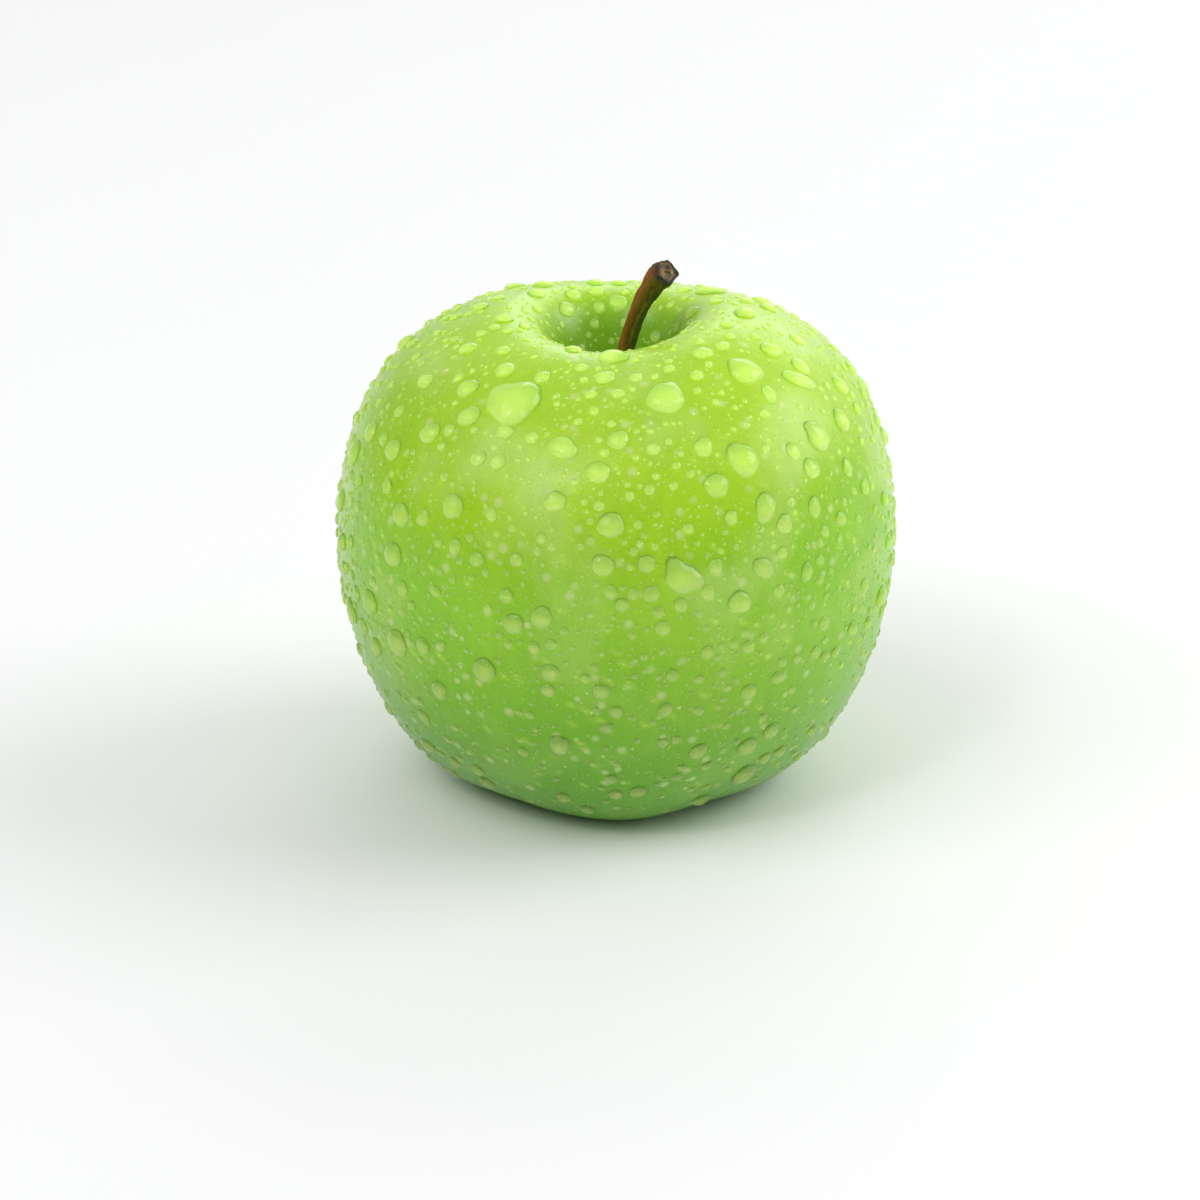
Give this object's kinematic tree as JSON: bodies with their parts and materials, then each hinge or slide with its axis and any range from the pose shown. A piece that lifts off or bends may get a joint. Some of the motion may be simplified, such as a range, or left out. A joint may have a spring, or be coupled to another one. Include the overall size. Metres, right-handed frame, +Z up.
{
  "type": "apple",
  "caption": "Whole green apple that stands on its lobes, with a leaning woody stem in its upper hollow and a dried calyx in its lower one.",
  "frame": {"origin": "on the surface the apple stands on, below the middle of its stem cavity", "axes": "+Z up through the core towards the stem, +X the side the stem leans to, -Y the front"},
  "size_m": [0.0782, 0.0781, 0.0742],
  "materials": {
    "skin": "waxy yellow-green fruit skin with pale dots",
    "stem_bark": "rough brown and olive bark with a cut end",
    "dry_sepal": "dry, matt, downy",
    "dry_stamens": "dry and matt",
    "water": "clear water drops on the skin"
  },
  "bodies": {
    "root": {"fruit": "skin", "stem": "stem_bark", "sepal_1": "dry_sepal", "sepal_2": "dry_sepal", "sepal_3": "dry_sepal", "sepal_4": "dry_sepal", "sepal_5": "dry_sepal", "stamen_tuft": "dry_stamens"}
  },
  "joints": []
}
